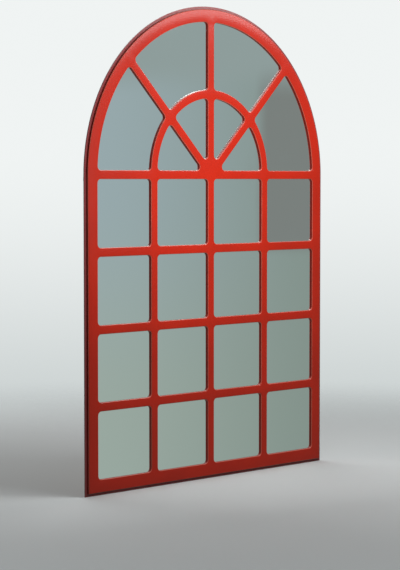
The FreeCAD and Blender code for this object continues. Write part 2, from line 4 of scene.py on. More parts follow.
import bmesh
import bpy
from bpy.props import FloatProperty, FloatVectorProperty, IntProperty, PointerProperty
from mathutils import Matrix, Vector


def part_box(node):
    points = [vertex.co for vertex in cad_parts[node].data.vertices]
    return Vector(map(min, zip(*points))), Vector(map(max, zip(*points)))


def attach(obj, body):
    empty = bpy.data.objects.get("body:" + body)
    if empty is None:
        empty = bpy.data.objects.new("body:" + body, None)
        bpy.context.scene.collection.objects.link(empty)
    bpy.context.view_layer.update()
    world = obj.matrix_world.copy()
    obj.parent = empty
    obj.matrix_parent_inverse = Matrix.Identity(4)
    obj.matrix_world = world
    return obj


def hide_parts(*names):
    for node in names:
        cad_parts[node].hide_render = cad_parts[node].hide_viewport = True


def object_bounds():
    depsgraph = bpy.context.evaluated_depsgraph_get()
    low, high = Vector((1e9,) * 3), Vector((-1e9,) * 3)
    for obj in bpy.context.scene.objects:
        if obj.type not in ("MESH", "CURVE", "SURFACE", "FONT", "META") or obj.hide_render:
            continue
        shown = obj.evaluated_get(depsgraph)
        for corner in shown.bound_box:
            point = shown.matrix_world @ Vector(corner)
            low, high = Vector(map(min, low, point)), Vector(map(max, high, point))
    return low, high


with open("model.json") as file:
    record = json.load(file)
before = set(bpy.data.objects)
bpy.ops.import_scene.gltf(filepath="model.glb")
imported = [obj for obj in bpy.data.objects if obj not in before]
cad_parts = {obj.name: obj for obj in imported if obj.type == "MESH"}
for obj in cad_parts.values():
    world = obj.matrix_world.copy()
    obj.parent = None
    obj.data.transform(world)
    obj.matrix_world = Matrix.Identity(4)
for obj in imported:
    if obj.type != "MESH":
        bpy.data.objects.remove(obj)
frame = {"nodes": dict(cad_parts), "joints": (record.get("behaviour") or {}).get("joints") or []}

bl_info = {
    "name": "Window Mirror",
    "version": (1, 0, 0),
    "blender": (4, 5, 0),
    "location": "3D View > Sidebar > Window Mirror",
    "description": "Makes an arched window mirror's lattice, screws, finishes and studio",
    "category": "Object",
}

CAD_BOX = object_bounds()
LATTICE_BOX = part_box("front_lattice")
FRONT_DEPTH = LATTICE_BOX[0].y
FOOT_HEIGHT = CAD_BOX[0].z

# The lattice's openings: columns and rows below the spring bar, and a fan above it
COLUMN_COUNT = 4
ROW_COUNT = 4
FAN_COUNT = 4
FAN_TURN = math.pi / FAN_COUNT

# How finely curves are divided
ARCH_POINTS = 97
FAN_POINTS = 17
CORNER_STEPS = 8
ROUND_STEPS = 6
SCREW_STEPS = 40
FLOOR_STEPS = 96

# The run at each end of a fan's arc, in corner radii, which leaves room for the rounded corner
END_RUN = 1.5
# Counts are compared half a step off, so that no rounding error can tip them
HALF_STEP = 0.5
# Points closer than this are one point
WELD = 2e-6
# Edges that turn by more than this are shaded sharp
CREASE = math.radians(35)

# A screw head's outline from its top to its seat, in shares of its radius and height
HEAD_OUTLINE = ((0.0, 1.0), (0.62, 0.97), (0.9, 0.78), (1.0, 0.45), (1.0, 0.0))
# The length of a screw's point, in shank radii
POINT_LENGTH = 1.2
# The width of the cross recess's cutter at its foot, as a share of its width at its top
RECESS_TAPER = 0.6


# Settings that a user would change


def colour(name, description, default):
    return FloatVectorProperty(
        name=name, description=description, default=default, subtype="COLOR", size=3, min=0.0, max=1.0
    )


def length(name, description, default):
    return FloatProperty(name=name, description=description, default=default, unit="LENGTH", min=0.0)


def factor(name, description, default):
    return FloatProperty(
        name=name, description=description, default=default, subtype="FACTOR", min=0.0, max=1.0
    )


def angle(name, description, default):
    return FloatProperty(name=name, description=description, default=math.radians(default), subtype="ANGLE")


def power(name, description, default):
    return FloatProperty(name=name, description=description, default=default, unit="POWER", min=0.0)


def spot(name, description, default):
    return FloatVectorProperty(
        name=name, description=description, default=default, subtype="TRANSLATION", unit="LENGTH", size=3
    )


def sides(name, description, default):
    return FloatVectorProperty(
        name=name, description=description, default=default, unit="LENGTH", size=2, min=0.0
    )


class LatticeSettings(bpy.types.PropertyGroup):
    border: length("Border", "Width of the lattice's border", 0.026)
    bar: length("Bar", "Width of the lattice's bars", 0.018)
    arc_rise: length("Arc rise", "Rise of the half-round bar's middle above the hub of the fan", 0.005)
    corner: length("Corner", "Radius of the openings' corners", 0.008)
    edge_round: length("Edge round", "Radius of the rounded front edges", 0.0018)


class LacquerSettings(bpy.types.PropertyGroup):
    red: colour("Red", "Lacquer of the lattice", (0.57, 0.018, 0.003))
    # Painted highlight: a paler tone on the lattice's rounded edges, in place of the light they catch
    red_edge_highlight: colour("Red edge", "Lacquer rubbed thin on the lattice's rounded edges", (0.70, 0.15, 0.10))
    # Painted shade: a darker tone on the lattice's cut walls, in place of the shade inside the openings
    red_wall_shade: colour("Red wall", "Lacquer sunk into the lattice's cut walls", (0.30, 0.010, 0.003))
    maroon: colour("Maroon", "Lacquer of the rim", (0.28, 0.046, 0.046))
    # Painted highlight: a paler tone on the rim's rounded edges, in place of the light they catch
    maroon_edge_highlight: colour("Maroon edge", "Lacquer rubbed thin on the rim's edges", (0.33, 0.08, 0.075))
    maroon_wall: colour("Maroon wall", "Lacquer on the rim's sides", (0.28, 0.046, 0.046))
    sheen_roughness: factor("Roughness", "Roughness of the lacquer on a flat face", 0.40)
    edge_roughness: factor("Edge roughness", "Added roughness where the lacquer is rubbed thin", 0.14)
    gloss: factor("Gloss", "Strength of the lacquer's reflections", 0.08)
    coat: factor("Coat", "Strength of the clear top coat", 0.45)
    coat_roughness: factor("Coat roughness", "Roughness of the clear top coat", 0.2)
    peel_pitch: length("Peel pitch", "Pitch of the sprayed surface's ripple", 0.003)
    peel_depth: length("Peel depth", "Depth of the sprayed surface's ripple", 0.00002)
    mottle_pitch: length("Mottle pitch", "Pitch of the slow change in tone", 0.16)


class GlassSettings(bpy.types.PropertyGroup):
    silver: colour("Silver", "Tint of the silvered glass", (0.86, 0.90, 0.89))
    backing: colour("Backing", "Paint on the back of the glass", (0.16, 0.17, 0.17))
    cut_edge: colour("Cut edge", "Cut edge of the glass", (0.05, 0.13, 0.10))
    haze: factor("Haze", "Roughness of the glass where it is least clean", 0.035)
    wave_pitch: length("Wave pitch", "Pitch of the glass's slow waves", 0.22)
    wave_depth: length("Wave depth", "Depth of the glass's slow waves", 0.00003)


class BackSettings(bpy.types.PropertyGroup):
    board_light: colour("Board light", "Light fibres of the back board", (0.36, 0.22, 0.115))
    board_dark: colour("Board dark", "Dark fibres of the back board", (0.21, 0.115, 0.055))
    screen_pitch: length("Screen pitch", "Pitch of the wire screen pressed into the board", 0.0024)
    screen_depth: length("Screen depth", "Depth of the wire screen pressed into the board", 0.0002)
    rubber: colour("Rubber", "Rubber of the wall pads", (0.025, 0.024, 0.023))


class HardwareSettings(bpy.types.PropertyGroup):
    zinc: colour("Zinc", "Plating of the buttons, hangers, rings and screws", (0.62, 0.62, 0.60))
    zinc_dull: colour("Dull zinc", "Plating where it has dulled", (0.44, 0.45, 0.44))
    plating_roughness: factor("Roughness", "Roughness of the plating", 0.32)
    head_width: length("Head width", "Width of a screw's head", 0.006)
    head_height: length("Head height", "Height of a screw's head", 0.0016)
    shank_width: length("Shank width", "Width of a screw's shank", 0.003)
    cross_length: length("Cross length", "Length of each slot of the cross recess", 0.0034)
    cross_width: length("Cross width", "Width of each slot of the cross recess", 0.0008)
    cross_depth: length("Cross depth", "Depth of the cross recess", 0.0008)
    near_drop: length("Near screw", "Drop of a hanger's upper screw below the ring's bar", 0.0085)
    far_drop: length("Far screw", "Drop of a hanger's lower screw below the ring's bar", 0.027)
    turn_seed: IntProperty(name="Turn seed", description="Seed for how far each screw was driven", default=7)


class StageSettings(bpy.types.PropertyGroup):
    azimuth: angle("Azimuth", "Camera's way round the mirror", -44.82)
    elevation: angle("Elevation", "Camera's height above the level", 3.24)
    distance: length("Distance", "Camera's distance", 3.92)
    lens: FloatProperty(name="Lens", description="Focal length", default=118.47, unit="CAMERA", min=1.0)
    aim: spot("Aim", "Where the camera looks", (-0.0335, FRONT_DEPTH, -0.2298))
    backdrop_high: colour("Backdrop high", "Backdrop above the level", (0.87, 0.90, 0.895))
    backdrop_low: colour("Backdrop low", "Backdrop below the level", (0.47, 0.52, 0.52))
    room_light: colour("Room, light side", "What the glass shows at its left", (0.36, 0.44, 0.465))
    room_low: colour("Room, low", "What the glass shows low down at its left", (0.37, 0.435, 0.395))
    room_dark: colour("Room, dark side", "What the glass shows at its right", (0.255, 0.31, 0.28))
    room_shade: colour("Room, shade", "What the glass shows high up at its right", (0.225, 0.24, 0.23))
    room_high: colour("Room, high", "What the glass shows near its top", (0.315, 0.375, 0.37))
    ceiling: colour("Ceiling", "What the glass shows of the ceiling", (0.62, 0.66, 0.66))
    room_turn: angle("Room turn", "Where the room's tone changes, from the mirror's facing", 45.5)
    room_spread: angle("Room spread", "How far the room's change in tone spreads", 9.0)
    ambient: factor("Ambient", "Light from all round", 0.13)
    floor_tone: colour("Floor", "Floor as it is seen", (0.70, 0.73, 0.73))
    floor_bounce: colour("Floor bounce", "Floor as it lights the mirror from below", (0.20, 0.21, 0.21))
    floor_radius: length("Floor radius", "Reach of the floor", 2.2)
    key_spot: spot("Key spot", "Place of the lamp at the front right", (0.60, -0.8, 0.58))
    key_size: sides("Key size", "Sides of the lamp at the front right", (0.8, 0.4))
    key_power: power("Key", "Power of the lamp at the front right", 6.8)
    wash_spot: spot("Wash spot", "Place of the lamp close to the fan", (-0.10, -0.42, 0.03))
    wash_aim: spot("Wash aim", "Where the lamp close to the fan points", (0.0, FRONT_DEPTH, 0.02))
    wash_size: sides("Wash size", "Sides of the lamp close to the fan", (0.5, 0.4))
    wash_power: power("Wash", "Power of the lamp close to the fan", 1.6)
    top_spot: spot("Top spot", "Place of the slim lamp above the front", (0.0, -0.7, 0.9))
    top_size: sides("Top size", "Sides of the slim lamp above the front", (0.7, 0.15))
    top_power: power("Top", "Power of the slim lamp above the front", 2.4)
    back_spot: spot("Back spot", "Place of the lamp behind", (0.5, 1.7, 1.1))
    back_size: sides("Back size", "Sides of the lamp behind", (2.2, 1.6))
    back_power: power("Back fill", "Power of the lamp behind", 22.0)


class MirrorSettings(bpy.types.PropertyGroup):
    lattice: PointerProperty(type=LatticeSettings)
    lacquer: PointerProperty(type=LacquerSettings)
    glass: PointerProperty(type=GlassSettings)
    back: PointerProperty(type=BackSettings)
    hardware: PointerProperty(type=HardwareSettings)
    stage: PointerProperty(type=StageSettings)


def settings_of(context):
    return context.scene.window_mirror


# Node trees


class Figure:
    """A number in a node tree, for sums that are written in the usual way."""

    def __init__(self, tree, socket):
        self.tree = tree
        self.socket = socket

    def __add__(self, other):
        return maths(self.tree, "ADD", self, other)

    def __sub__(self, other):
        return maths(self.tree, "SUBTRACT", self, other)

    def __rsub__(self, other):
        return maths(self.tree, "SUBTRACT", other, self)

    def __mul__(self, other):
        return maths(self.tree, "MULTIPLY", self, other)

    def __truediv__(self, other):
        return maths(self.tree, "DIVIDE", self, other)

    def __mod__(self, other):
        return maths(self.tree, "MODULO", self, other)

    def __lt__(self, other):
        return maths(self.tree, "LESS_THAN", self, other)

    def __gt__(self, other):
        return maths(self.tree, "GREATER_THAN", self, other)


def feed(tree, socket, value):
    """Give a socket a value, or link it to another node's output."""
    if isinstance(value, Figure):
        value = value.socket
    if isinstance(value, bpy.types.NodeSocket):
        tree.links.new(value, socket)
    elif socket.type == "RGBA" and len(value) == 3:
        socket.default_value = (*value, 1.0)
    else:
        socket.default_value = value


def add(tree, kind, sockets=None, **settings):
    """Add a node with its settings, and feed its input sockets by name or number."""
    node = tree.nodes.new(kind)
    for name, value in settings.items():
        setattr(node, name, value)
    for key, value in (sockets or {}).items():
        feed(tree, node.inputs[key], value)
    return node


def maths(tree, operation, *terms):
    node = add(tree, "ShaderNodeMath", dict(enumerate(terms)), operation=operation)
    return Figure(tree, node.outputs[0])


def remap(value, source, target=(0.0, 1.0), curve="SMOOTHSTEP"):
    """Carry a figure from one range to another, held at the ends."""
    ends = ("From Min", "From Max", "To Min", "To Max")
    sockets = dict(zip(ends, (*source, *target)))
    node = add(value.tree, "ShaderNodeMapRange", {"Value": value, **sockets}, interpolation_type=curve)
    return Figure(value.tree, node.outputs["Result"])


def mix(share, first, second):
    """Blend from one colour to another by a figure."""
    node = add(share.tree, "ShaderNodeMix", {"Factor": share}, data_type="RGBA")
    colours = [socket for socket in node.inputs if socket.type == "RGBA"]
    for socket, value in zip(colours, (first, second)):
        feed(share.tree, socket, value)
    return next(socket for socket in node.outputs if socket.type == "RGBA")


def noise(tree, vector, pitch, detail=2.0, roughness=0.5):
    sockets = {"Vector": vector, "Scale": 1.0 / pitch, "Detail": detail, "Roughness": roughness}
    return Figure(tree, add(tree, "ShaderNodeTexNoise", sockets).outputs["Fac"])


def bump(height, depth):
    sockets = {"Height": height, "Strength": 1.0, "Distance": depth}
    return add(height.tree, "ShaderNodeBump", sockets).outputs["Normal"]


def point(tree, x=0.0, y=0.0, z=0.0):
    return add(tree, "ShaderNodeCombineXYZ", {"X": x, "Y": y, "Z": z}).outputs[0]


def split(tree, vector):
    """The X, Y and Z of a vector."""
    node = add(tree, "ShaderNodeSeparateXYZ", {"Vector": vector})
    return [Figure(tree, socket) for socket in node.outputs]


def new_material(name, **sockets):
    """A material, its tree and its shader, with a plain value for each named socket of the shader."""
    material = bpy.data.materials.new(name)
    material.use_nodes = True
    shader = material.node_tree.nodes["Principled BSDF"]
    dress(material.node_tree, shader, **sockets)
    return material, material.node_tree, shader


def dress(tree, shader, **sockets):
    """Feed a shader's named sockets."""
    for name, value in sockets.items():
        feed(tree, shader.inputs[name.replace("_", " ")], value)


def place(tree):
    return add(tree, "ShaderNodeTexCoord").outputs["Object"]


def facing(tree):
    """Which way the surface faces: -1 to the front, 1 to the back and 0 on the cut edges."""
    normal = add(tree, "ShaderNodeNewGeometry").outputs["Normal"]
    return split(tree, normal)[1]


# Finishes


def lacquer(name, flat, edge, wall, settings):
    """Sprayed lacquer on fibreboard: duller on rounded edges with a paler painted highlight there, and
    painted shade in the wall tone on walls.
    """
    wall_to_edge = (0.15, 0.55)
    edge_to_face = (0.75, 0.98)
    noise_range = (0.3, 0.7)
    tone_range = (0.93, 1.06)
    patch_range = (-0.03, 0.04)
    patches_per_mottle = 4
    gloss = {
        "Specular_IOR_Level": settings.gloss,
        "Coat_Weight": settings.coat,
        "Coat_Roughness": settings.coat_roughness,
    }
    material, tree, shader = new_material(name, **gloss)
    where = place(tree)
    level = maths(tree, "ABSOLUTE", facing(tree))
    off_wall = remap(level, wall_to_edge)
    on_edge = off_wall * remap(level, edge_to_face, (1.0, 0.0))
    # The edge tone is a painted highlight on rounded edges, and the wall tone is painted shade on cut walls
    body = mix(on_edge, mix(off_wall, wall, flat), edge)
    mottle = noise(tree, where, settings.mottle_pitch, detail=3.0)
    tone = remap(mottle, noise_range, tone_range)
    toned = add(tree, "ShaderNodeVectorMath", {0: body, "Scale": tone}, operation="SCALE").outputs[0]
    patches = noise(tree, where, settings.mottle_pitch / patches_per_mottle, detail=4.0)
    patchy = remap(patches, noise_range, patch_range)
    rough = on_edge * settings.edge_roughness + patchy + settings.sheen_roughness
    peel = noise(tree, where, settings.peel_pitch, detail=1.0)
    dress(tree, shader, Base_Color=toned, Roughness=rough, Normal=bump(peel, settings.peel_depth))
    return material


def silvered_glass(settings):
    """Glass silvered and painted behind, with slow waves and a little haze."""
    front_to_edge = (-0.9, -0.5)
    edge_to_back = (0.5, 0.9)
    edge_roughness = 0.5
    clean_roughness = 0.012
    smears_per_wave = 3
    smear_range = (0.45, 0.75)
    material, tree, shader = new_material("silvered_glass")
    where = place(tree)
    way = facing(tree)
    front = remap(way, front_to_edge, (1.0, 0.0))
    dull = mix(remap(way, edge_to_back), settings.cut_edge, settings.backing)
    body = mix(front, dull, settings.silver)
    smears = noise(tree, where, settings.wave_pitch / smears_per_wave, detail=5.0, roughness=0.6)
    haze = remap(smears, smear_range, (0.0, settings.haze))
    rough = haze + remap(front, (0.0, 1.0), (edge_roughness, clean_roughness))
    wave = noise(tree, where, settings.wave_pitch, detail=0.0)
    relief = bump(wave, settings.wave_depth)
    dress(tree, shader, Base_Color=body, Metallic=front, Roughness=rough, Normal=relief)
    return material


def hardboard(settings):
    """Pressed fibreboard with flecks, and the print of a wire screen on its back."""
    cloud_pitch = 0.12
    cloud_share = 0.35
    fibre_pitch = 0.004
    fibre_range = (0.2, 0.8)
    blend_range = (0.45, 0.9)
    rough_range = (0.72, 0.9)
    screen_share = 0.35
    material, tree, shader = new_material("hardboard", Specular_IOR_Level=0.25)
    where = place(tree)
    cloud = noise(tree, where, cloud_pitch, detail=4.0)
    fibre = noise(tree, where, fibre_pitch, detail=5.0, roughness=0.7)
    blend = remap(cloud * cloud_share + fibre, blend_range)
    body = mix(blend, settings.board_dark, settings.board_light)
    rough = remap(fibre, fibre_range, rough_range)
    across, _, up = split(tree, where)
    turns = math.tau / settings.screen_pitch
    screen = maths(tree, "SINE", across * turns) * maths(tree, "SINE", up * turns)
    relief = bump(screen * screen_share + fibre, settings.screen_depth)
    dress(tree, shader, Base_Color=body, Roughness=rough, Normal=relief)
    return material


def zinc_plate(settings):
    """Zinc plating with faint crystals, dull patches and fine scratches."""
    crystals_per_metre = 700.0
    crystal_share = 0.4
    patch_pitch = 0.006
    wear_range = (0.4, 0.95)
    smoother = 0.06
    rougher = 0.1
    scratch_pitch = 0.0012
    scratch_stretch = (1.0, 1.0, 9.0)
    scratch_depth = 0.00001
    material, tree, shader = new_material("zinc_plate", Metallic=1.0)
    where = place(tree)
    sockets = {"Vector": where, "Scale": crystals_per_metre}
    cells = add(tree, "ShaderNodeTexVoronoi", sockets).outputs["Color"]
    crystals = Figure(tree, add(tree, "ShaderNodeSeparateColor", {"Color": cells}).outputs["Red"])
    patches = noise(tree, where, patch_pitch, detail=3.0)
    wear = remap(crystals * crystal_share + patches, wear_range)
    body = mix(wear, settings.zinc, settings.zinc_dull)
    rough_range = (settings.plating_roughness - smoother, settings.plating_roughness + rougher)
    rough = remap(wear, (0.0, 1.0), rough_range)
    stretched = add(tree, "ShaderNodeMapping", {"Vector": where, "Scale": scratch_stretch}).outputs["Vector"]
    relief = bump(noise(tree, stretched, scratch_pitch), scratch_depth)
    dress(tree, shader, Base_Color=body, Roughness=rough, Normal=relief)
    return material


def rubber(settings):
    """Moulded rubber with a pale bloom and a fine grain."""
    bloom_pitch = 0.004
    bloom_range = (0.4, 0.8)
    bloom_gain = 2.2
    noise_range = (0.2, 0.8)
    rough_range = (0.7, 0.88)
    grain_pitch = 0.0006
    grain_depth = 0.00004
    material, tree, shader = new_material("pad_rubber", Specular_IOR_Level=0.3)
    where = place(tree)
    bloom = noise(tree, where, bloom_pitch, detail=4.0)
    pale = [bloom_gain * part for part in settings.rubber]
    body = mix(remap(bloom, bloom_range), settings.rubber, pale)
    rough = remap(bloom, noise_range, rough_range)
    relief = bump(noise(tree, where, grain_pitch), grain_depth)
    dress(tree, shader, Base_Color=body, Roughness=rough, Normal=relief)
    return material


def give_finish(material, *starts):
    """Give the material to every node whose name starts with one of these words."""
    chosen = [node for name, node in frame["nodes"].items() if name.startswith(starts)]
    if not chosen:
        raise RuntimeError(f"no node starts with {starts}")
    for node in chosen:
        node.data.materials.clear()
        node.data.materials.append(material)


# Meshes and geometry node groups


def new_object(name, mesh):
    """An object at the origin from a bmesh, which it uses up."""
    data = bpy.data.meshes.new(name)
    mesh.to_mesh(data)
    mesh.free()
    piece = bpy.data.objects.new(name, data)
    bpy.context.scene.collection.objects.link(piece)
    return piece


def settle(piece):
    """Turn what an object's modifiers make into its plain mesh."""
    graph = bpy.context.evaluated_depsgraph_get()
    data = bpy.data.meshes.new_from_object(piece.evaluated_get(graph))
    piece.modifiers.clear()
    old = piece.data
    piece.data = data
    bpy.data.meshes.remove(old)


def new_group(name, inputs):
    """A geometry node group with named inputs, each of its kind, and one geometry output."""
    tree = bpy.data.node_groups.new(name, "GeometryNodeTree")
    for label, kind in inputs.items():
        tree.interface.new_socket(label, in_out="INPUT", socket_type=f"NodeSocket{kind}")
    tree.interface.new_socket("Geometry", in_out="OUTPUT", socket_type="NodeSocketGeometry")
    return tree, add(tree, "NodeGroupInput").outputs


def join(tree, shapes):
    together = add(tree, "GeometryNodeJoinGeometry")
    for shape in shapes:
        tree.links.new(shape, together.inputs[0])
    return together.outputs[0]


def close_group(tree, shape, material):
    """End a tree with real geometry in its finish."""
    real = add(tree, "GeometryNodeRealizeInstances", {"Geometry": shape}).outputs["Geometry"]
    done = add(tree, "GeometryNodeSetMaterial", {"Geometry": real, "Material": material}).outputs["Geometry"]
    add(tree, "NodeGroupOutput", {"Geometry": done})


def grow(piece, tree, values):
    """Let a tree make a piece's mesh from named values."""
    modifier = piece.modifiers.new(tree.name, "NODES")
    modifier.node_group = tree
    for item in tree.interface.items_tree:
        if item.in_out == "INPUT" and item.name in values:
            modifier[item.identifier] = values[item.name]
    settle(piece)


# Lattice


def polar(tree, radius, turn, rise=0.0):
    """The point at a radius and an angle from a middle that stands above the hub of the fan by a rise."""
    return point(tree, radius * maths(tree, "COSINE", turn), radius * maths(tree, "SINE", turn) + rise)


def choose(tree, test, when_true, when_false):
    sockets = {"Switch": test, "True": when_true, "False": when_false}
    return add(tree, "GeometryNodeSwitch", sockets, input_type="VECTOR").outputs[0]


def closed_line(tree, count, position):
    """A closed line through counted points."""
    points = add(tree, "GeometryNodePoints", {"Count": count, "Position": position}).outputs[0]
    line = add(tree, "GeometryNodePointsToCurves", {0: points}).outputs[0]
    return add(tree, "GeometryNodeSetSplineCyclic", {0: line, "Cyclic": True}).outputs[0]


def round_corners(tree, line, radius, steps):
    sockets = {0: line, "Count": steps, "Radius": radius}
    return add(tree, "GeometryNodeFilletCurve", sockets, mode="POLY").outputs[0]


def real_copies(tree, points, shape, scale=(1.0, 1.0, 1.0)):
    sockets = {"Points": points, "Instance": shape, "Scale": scale}
    copies = add(tree, "GeometryNodeInstanceOnPoints", sockets).outputs[0]
    return add(tree, "GeometryNodeRealizeInstances", {0: copies}).outputs[0]


def fan_arc(index, start, arc, step, gap, corner, sign):
    """Points along one arc of a field of the fan, from one ray to the next or, with sign -1, back again."""
    tree = index.tree
    radius, rise = arc
    low_ray, high_ray = FAN_TURN * step, FAN_TURN * (step + 1)
    low_lean = (gap - rise * math.cos(low_ray)) / radius
    high_lean = (gap + rise * math.cos(high_ray)) / radius
    low = maths(tree, "ARCSINE", low_lean) + low_ray
    high = high_ray - maths(tree, "ARCSINE", high_lean)
    first_turn, last_turn = (low, high) if sign > 0 else (high, low)
    last = start + FAN_POINTS - 1
    end_run = corner * sign * END_RUN / radius
    inner = remap(index, (start + 1, last - 1), (first_turn + end_run, last_turn - end_run), "LINEAR")
    ends = (index > last - HALF_STEP) - (index < start + HALF_STEP)
    return polar(tree, radius, ends * end_run + inner, rise)


def fan_field(index, step, gap, corner, far_arc, near_arc=None):
    """The outlines of an opening of the fan and its twin, out to one arc and in to another or a point."""
    tree = index.tree
    far = fan_arc(index, 0, far_arc, step, gap, corner, 1)
    if near_arc:
        count = 2 * FAN_POINTS
        near = fan_arc(index, FAN_POINTS, near_arc, step, gap, corner, -1)
    else:
        count = FAN_POINTS + 1
        half_turn = FAN_TURN / 2
        near = polar(tree, gap / math.sin(half_turn), FAN_TURN * step + half_turn)
    line = closed_line(tree, count, choose(tree, index < FAN_POINTS - HALF_STEP, far, near))
    place_in_arc = index % FAN_POINTS
    is_corner = (place_in_arc < HALF_STEP) + (place_in_arc > FAN_POINTS - 1 - HALF_STEP)
    rounded = round_corners(tree, line, corner * is_corner, is_corner * (CORNER_STEPS - 1) + 1.0)
    spots = add(tree, "GeometryNodePoints", {"Count": 2}).outputs[0]
    left_and_right = point(tree, index * 2.0 - 1.0, 1.0, 1.0)
    return real_copies(tree, spots, rounded, left_and_right)


def lattice_outlines():
    """All outlines of the lattice, lying flat: openings widened and outer line drawn in by an offset."""
    names = ("Half Width", "Drop", "Border", "Bar", "Arc Rise", "Corner", "Offset")
    tree, given = new_group("lattice_outlines", {name: "Float" for name in names})
    half, drop, border, bar, rise, corner, offset = (Figure(tree, given[name]) for name in names)
    index = Figure(tree, add(tree, "GeometryNodeInputIndex").outputs[0])
    opening = half - border
    half_bar = bar / 2.0
    column = (opening * 2.0 + bar) / COLUMN_COUNT
    row = (drop - border + half_bar) / ROW_COUNT
    gap = half_bar - offset
    bend = corner + offset

    side, foot = half - offset, drop - offset
    arch = polar(tree, side, remap(index, (0.0, ARCH_POINTS - 1.0), (0.0, math.pi), "LINEAR"))
    corners = point(tree, side * ((index - ARCH_POINTS) * 2.0 - 1.0), 0.0 - foot)
    outer = closed_line(tree, ARCH_POINTS + 2, choose(tree, index < ARCH_POINTS - HALF_STEP, arch, corners))

    sockets = {"Width": column - gap * 2.0, "Height": row - gap * 2.0}
    pane = add(tree, "GeometryNodeCurvePrimitiveQuadrilateral", sockets).outputs[0]
    sockets = {
        "Size X": column * (COLUMN_COUNT - 1),
        "Size Y": row * (ROW_COUNT - 1),
        "Vertices X": COLUMN_COUNT,
        "Vertices Y": ROW_COUNT,
    }
    grid = add(tree, "GeometryNodeMeshGrid", sockets).outputs[0]
    shift = point(tree, y=row * (-ROW_COUNT / 2))
    spots = add(tree, "GeometryNodeSetPosition", {"Geometry": grid, "Offset": shift}).outputs[0]
    panes = real_copies(tree, spots, round_corners(tree, pane, bend, CORNER_STEPS))

    lines = [outer, panes]
    under_bar, over_bar, under_border = (column - gap, rise), (column + gap, rise), (opening + offset, 0.0)
    for step in range(FAN_COUNT // 2):
        lines.append(fan_field(index, step, gap, bend, under_bar))
        lines.append(fan_field(index, step, gap, bend, under_border, over_bar))
    add(tree, "NodeGroupOutput", {0: join(tree, lines)})
    return tree


def wall_between():
    """The wall from one set of outlines to another with as many points."""
    tree, given = new_group("wall_between", {"Upper": "Geometry", "Lower": "Geometry"})
    edges = add(tree, "GeometryNodeCurveToMesh", {0: given["Upper"]}).outputs[0]
    count = Figure(tree, add(tree, "GeometryNodeAttributeDomainSize", {0: edges}).outputs["Point Count"])
    sockets = {"Mesh": edges, "Offset Scale": 0.0}
    drawn = add(tree, "GeometryNodeExtrudeMesh", sockets, mode="EDGES").outputs["Mesh"]
    index = Figure(tree, add(tree, "GeometryNodeInputIndex").outputs[0])
    where = add(tree, "GeometryNodeInputPosition").outputs[0]
    sockets = {"Geometry": given["Lower"], "Value": where, "Index": index - count}
    below = add(tree, "GeometryNodeSampleIndex", sockets, data_type="FLOAT_VECTOR").outputs[0]
    sockets = {"Geometry": drawn, "Selection": index > count - HALF_STEP, "Position": below}
    add(tree, "NodeGroupOutput", {0: add(tree, "GeometryNodeSetPosition", sockets).outputs[0]})
    return tree


def lattice_tree():
    """The lattice from its rule: flat faces between outlines, walls behind them and rounded front edges."""
    outlines, wall = lattice_outlines(), wall_between()
    names = ("Half Width", "Drop", "Border", "Bar", "Arc Rise", "Corner")
    inputs = {name: "Float" for name in (*names, "Thickness", "Edge Round", "Back Depth")}
    tree, given = new_group("arched_lattice", {**inputs, "Finish": "Material"})
    thick, edge = Figure(tree, given["Thickness"]), Figure(tree, given["Edge Round"])
    turns = [math.pi / 2 * step / ROUND_STEPS for step in range(ROUND_STEPS + 1)]
    rows = [(edge * (1.0 - math.sin(turn)), thick - edge * (1.0 - math.cos(turn))) for turn in turns]
    rows.append((0.0, 0.0))

    def lifted(shape, height):
        sockets = {0: shape, "Translation": point(tree, z=height)}
        return add(tree, "GeometryNodeTransform", sockets).outputs[0]

    sizes = {name: given[name] for name in names}
    flat = []
    for offset, _ in rows:
        sockets = {**sizes, "Offset": offset}
        flat.append(add(tree, "GeometryNodeGroup", sockets, node_tree=outlines).outputs[0])
    rings = [lifted(line, height) for line, (_, height) in zip(flat, rows)]
    front, back = (add(tree, "GeometryNodeFillCurve", {0: line}).outputs[0] for line in (flat[0], flat[-1]))
    shapes = [lifted(front, thick), back]
    for upper, lower in zip(rings, rings[1:]):
        shapes.append(add(tree, "GeometryNodeGroup", {0: upper, 1: lower}, node_tree=wall).outputs[0])
    depth = point(tree, y=given["Back Depth"])
    sockets = {0: join(tree, shapes), "Rotation": (math.pi / 2, 0.0, 0.0), "Translation": depth}
    close_group(tree, add(tree, "GeometryNodeTransform", sockets).outputs[0], given["Finish"])
    return tree


def close_mesh(data):
    """Weld a mesh, turn its faces outwards and shade its rounded edges smooth."""
    flat_enough = 0.999
    mesh = bmesh.new()
    mesh.from_mesh(data)
    bmesh.ops.remove_doubles(mesh, verts=mesh.verts, dist=WELD)
    bmesh.ops.dissolve_degenerate(mesh, edges=mesh.edges, dist=WELD)
    bmesh.ops.recalc_face_normals(mesh, faces=mesh.faces)
    for face in mesh.faces:
        face.smooth = abs(face.normal.y) < flat_enough
    if not all(edge.is_manifold for edge in mesh.edges):
        raise RuntimeError(f"{data.name} isn't closed")
    mesh.to_mesh(data)
    mesh.free()
    data.set_sharp_from_angle(angle=CREASE)


def cut_lattice(sizes, finish):
    """Make the lattice in the CAD lattice's box, and let it stand for that."""
    low, high = LATTICE_BOX
    lattice = new_object("lattice", bmesh.new())
    values = {
        "Half Width": high.x,
        "Drop": -low.z,
        "Border": sizes.border,
        "Bar": sizes.bar,
        "Arc Rise": sizes.arc_rise,
        "Corner": sizes.corner,
        "Thickness": high.y - low.y,
        "Edge Round": sizes.edge_round,
        "Back Depth": high.y,
        "Finish": finish,
    }
    grow(lattice, lattice_tree(), values)
    close_mesh(lattice.data)
    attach(lattice, "frame")
    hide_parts("front_lattice")


# Screws


